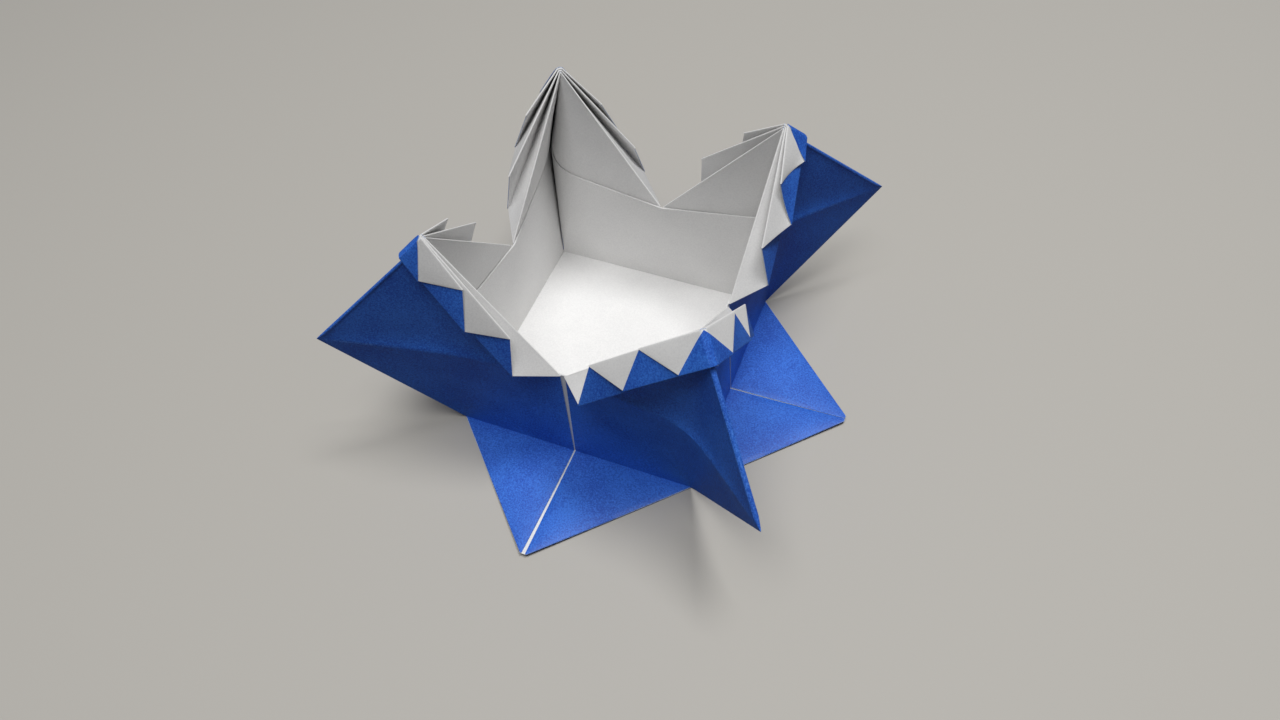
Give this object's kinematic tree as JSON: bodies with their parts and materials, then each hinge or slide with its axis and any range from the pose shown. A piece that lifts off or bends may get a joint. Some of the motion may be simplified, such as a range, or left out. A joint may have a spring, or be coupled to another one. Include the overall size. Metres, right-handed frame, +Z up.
{
  "type": "origami star box",
  "caption": "Square paper box folded from one two-colour sheet, with pointed horns at its corners, pleated fans above them and a flat star-shaped foot.",
  "frame": {"origin": "middle of the floor on the table surface, bottom centre of the base", "axes": "+Z up, X and Y along the walls; the slit wall that faces the camera is on the -Y side, the flap tips lie on the X and Y axes and the horns point along the diagonals"},
  "size_m": [0.0742, 0.0742, 0.04],
  "materials": {
    "craft_paper": "matte blue on one side, white on the other"
  },
  "bodies": {
    "root": {"folded_sheet": "craft_paper"}
  },
  "joints": []
}
